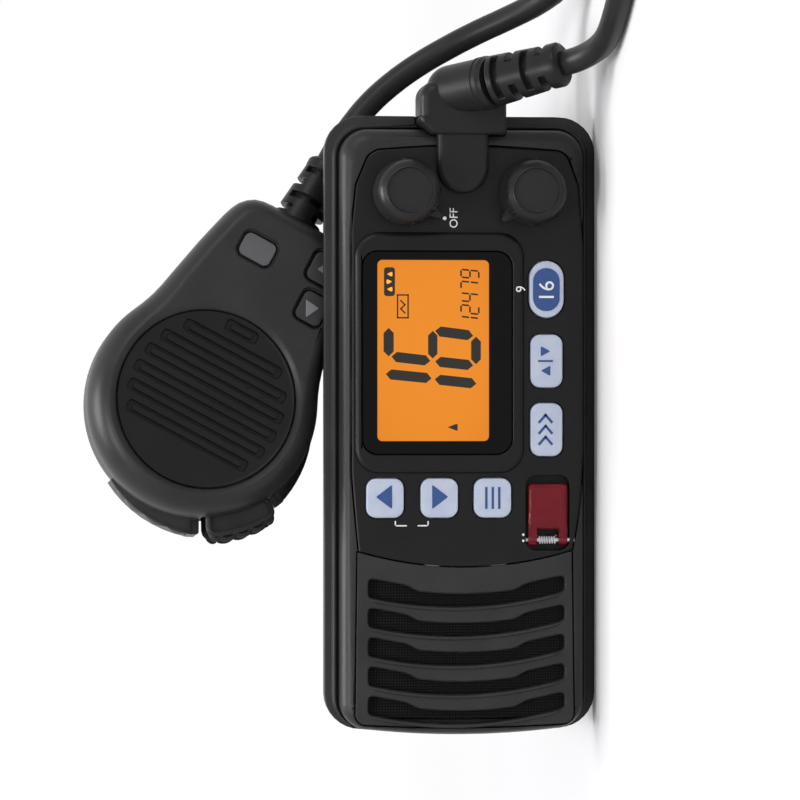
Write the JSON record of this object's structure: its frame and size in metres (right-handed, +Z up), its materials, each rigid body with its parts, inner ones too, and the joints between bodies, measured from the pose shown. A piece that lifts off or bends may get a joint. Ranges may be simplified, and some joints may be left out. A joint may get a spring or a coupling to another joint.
{
  "type": "marine radio",
  "caption": "Fixed-mount marine radio with amber display, rubber-sealed keys and knobs, a lidded distress key and a fist microphone on a curly cord.",
  "frame": {"origin": "centre of the flat underside", "axes": "+X to the right of the front, +Y into the set, +Z up, so the front looks along -Y"},
  "size_m": [0.2845, 0.2343, 0.1265],
  "materials": {
    "case_plastic": "fine-grained black moulding, satin",
    "flange_plastic": "grained dark grey moulding",
    "seal_rubber": "matt",
    "mesh_fabric": "fine woven dust mesh",
    "speaker_metal": "pressed sheet",
    "lens_gloss": "gloss, black border round a clear field",
    "display_amber": "backlit amber",
    "key_plastic": "pale, translucent, printed in blue",
    "circuit_board": "solder mask",
    "steel": "plain",
    "red_key_plastic": "moulded red",
    "red_clear_plastic": "clear red",
    "painted_casting": "black powder coat",
    "insert_brass": "plain",
    "socket_chrome": "nickel plate",
    "lead_rubber": "satin moulded rubber",
    "cord_rubber": "satin jacket",
    "mic_plastic": "fine-grained moulding",
    "mic_key_rubber": "satin",
    "talk_rubber": "matt",
    "switch_plastic": "plain",
    "capsule_metal": "drawn"
  },
  "bodies": {
    "set": {"front_bezel": "case_plastic", "panel_flange": "flange_plastic", "panel_gasket": "seal_rubber", "control_panel": "case_plastic", "speaker_grille": "case_plastic", "speaker_mesh": "mesh_fabric", "speaker_driver": "speaker_metal", "lcd_bezel": "case_plastic", "lcd_window": "lens_gloss", "lcd_module": "display_amber", "keypad_membrane": "seal_rubber", "front_board": "circuit_board", "volume_control": "steel", "squelch_control": "steel", "knob_seals": "seal_rubber", "cover_pin": "steel", "cover_spring": "steel", "rear_chassis": "painted_casting", "main_board": "circuit_board", "rf_module": "speaker_metal", "board_screws": "steel", "bracket_insert_left": "insert_brass", "bracket_insert_right": "insert_brass", "antenna_socket": "socket_chrome", "power_gland": "lead_rubber", "accessory_gland": "lead_rubber", "casing_screws": "steel", "lead_cover": "lead_rubber", "lead_elbow": "lead_rubber", "lead_relief": "lead_rubber", "mic_front_shell": "mic_plastic", "mic_rear_shell": "mic_plastic", "mic_grille": "mic_plastic", "mic_capsule": "capsule_metal", "mic_board": "circuit_board", "mic_ptt_switch": "switch_plastic", "mic_hanger_stud": "steel", "mic_screws": "steel", "mic_relief": "lead_rubber", "cord_mic_end": "cord_rubber", "cord_curly": "cord_rubber", "cord_plug_end": "cord_rubber"},
    "volume": {"knob_volume": "case_plastic", "volume_shaft": "steel"},
    "squelch": {"knob_squelch": "case_plastic", "squelch_shaft": "steel"},
    "key_up_cap": {"key_up": "key_plastic"},
    "key_down_cap": {"key_down": "key_plastic"},
    "key_menu_cap": {"key_menu": "key_plastic"},
    "key_scan_cap": {"key_scan": "key_plastic"},
    "key_channel_cap": {"key_channel": "key_plastic"},
    "key_16_cap": {"key_16": "key_plastic"},
    "distress_button": {"distress_key": "red_key_plastic"},
    "distress_lid": {"distress_cover": "red_clear_plastic"},
    "talk_lever": {"mic_ptt": "talk_rubber"},
    "mic_key_power_cap": {"mic_key_power": "mic_key_rubber"},
    "mic_key_up_cap": {"mic_key_up": "mic_key_rubber"},
    "mic_key_down_cap": {"mic_key_down": "mic_key_rubber"}
  },
  "joints": [
    {"name": "volume_turn", "type": "hinge", "parent": "set", "child": "volume", "pos_m": [0.0573, -0.062, 0.0479], "axis": [0, 1, 0], "range_deg": [0, 285]},
    {"name": "squelch_turn", "type": "hinge", "parent": "set", "child": "squelch", "pos_m": [0.0573, -0.062, 0.0168], "axis": [0, 1, 0], "range_deg": [-95, 190]},
    {"name": "key_up_press", "type": "slide", "parent": "set", "child": "key_up_cap", "axis": [0, 1, 0], "range_m": [0, 0.0008], "stiffness_N_per_m": 900},
    {"name": "key_down_press", "type": "slide", "parent": "set", "child": "key_down_cap", "axis": [0, 1, 0], "range_m": [0, 0.0008], "stiffness_N_per_m": 900},
    {"name": "key_menu_press", "type": "slide", "parent": "set", "child": "key_menu_cap", "axis": [0, 1, 0], "range_m": [0, 0.0008], "stiffness_N_per_m": 900},
    {"name": "key_scan_press", "type": "slide", "parent": "set", "child": "key_scan_cap", "axis": [0, 1, 0], "range_m": [0, 0.0008], "stiffness_N_per_m": 900},
    {"name": "key_channel_press", "type": "slide", "parent": "set", "child": "key_channel_cap", "axis": [0, 1, 0], "range_m": [0, 0.0008], "stiffness_N_per_m": 900},
    {"name": "key_16_press", "type": "slide", "parent": "set", "child": "key_16_cap", "axis": [0, 1, 0], "range_m": [0, 0.0008], "stiffness_N_per_m": 900},
    {"name": "distress_press", "type": "slide", "parent": "set", "child": "distress_button", "axis": [0, 1, 0], "range_m": [0, 0.0006], "stiffness_N_per_m": 900},
    {"name": "distress_lid_hinge", "type": "hinge", "parent": "set", "child": "distress_lid", "pos_m": [-0.0283, -0.0591, 0.0128], "axis": [0, 0, -1], "range_deg": [0, 110], "stiffness_Nm_per_rad": 0.002},
    {"name": "talk_press", "type": "slide", "parent": "set", "child": "talk_lever", "axis": [0.9492, 0.0954, 0.3], "range_m": [0, 0.002], "stiffness_N_per_m": 700},
    {"name": "mic_key_power_press", "type": "slide", "parent": "set", "child": "mic_key_power_cap", "axis": [-0.1216, 0.9901, 0.0698], "range_m": [0, 0.0006], "stiffness_N_per_m": 900},
    {"name": "mic_key_up_press", "type": "slide", "parent": "set", "child": "mic_key_up_cap", "axis": [-0.1216, 0.9901, 0.0698], "range_m": [0, 0.0006], "stiffness_N_per_m": 900},
    {"name": "mic_key_down_press", "type": "slide", "parent": "set", "child": "mic_key_down_cap", "axis": [-0.1216, 0.9901, 0.0698], "range_m": [0, 0.0006], "stiffness_N_per_m": 900}
  ]
}
